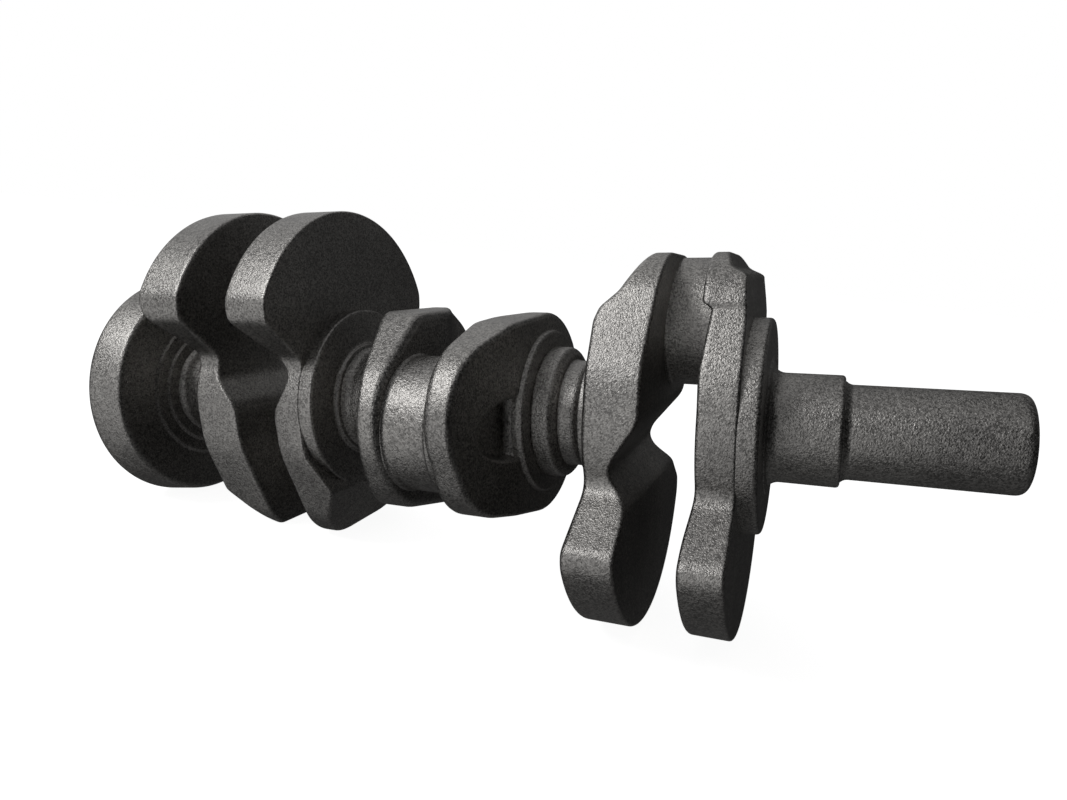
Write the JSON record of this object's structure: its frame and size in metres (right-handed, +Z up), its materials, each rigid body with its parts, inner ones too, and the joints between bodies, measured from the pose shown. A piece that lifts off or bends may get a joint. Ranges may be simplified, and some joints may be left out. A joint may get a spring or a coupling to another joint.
{
  "type": "crankshaft",
  "caption": "Rough cast crankshaft for an in-line engine, with offset crankpins between thick webs, fan-shaped counterweights, a flywheel flange and a plain snout.",
  "frame": {"origin": "centre of the flywheel flange's outer face, on the main axis", "axes": "+X along the main axis from the flywheel face to the snout, +Z up, with the middle crankpin towards -Y and the rear counterweights towards +Z"},
  "size_m": [0.3508, 0.121, 0.155],
  "materials": {
    "cast_iron": "rough as cast and shot blasted, fine bright grain"
  },
  "bodies": {
    "root": {"flywheel_flange": "cast_iron", "main_journal_1": "cast_iron", "bearing_collar_1": "cast_iron", "crank_web_1": "cast_iron", "counterweight_1": "cast_iron", "crankpin_1": "cast_iron", "crank_web_2": "cast_iron", "counterweight_2": "cast_iron", "bearing_boss_2": "cast_iron", "main_journal_2": "cast_iron", "bearing_boss_3": "cast_iron", "crank_web_3": "cast_iron", "crankpin_2": "cast_iron", "crank_web_4": "cast_iron", "bearing_boss_4": "cast_iron", "thrust_collar": "cast_iron", "main_journal_3": "cast_iron", "bearing_collar_5": "cast_iron", "crank_web_5": "cast_iron", "counterweight_5": "cast_iron", "crankpin_3": "cast_iron", "crank_web_6": "cast_iron", "counterweight_6": "cast_iron", "bearing_boss_6": "cast_iron", "main_journal_4": "cast_iron", "snout": "cast_iron"}
  },
  "joints": []
}
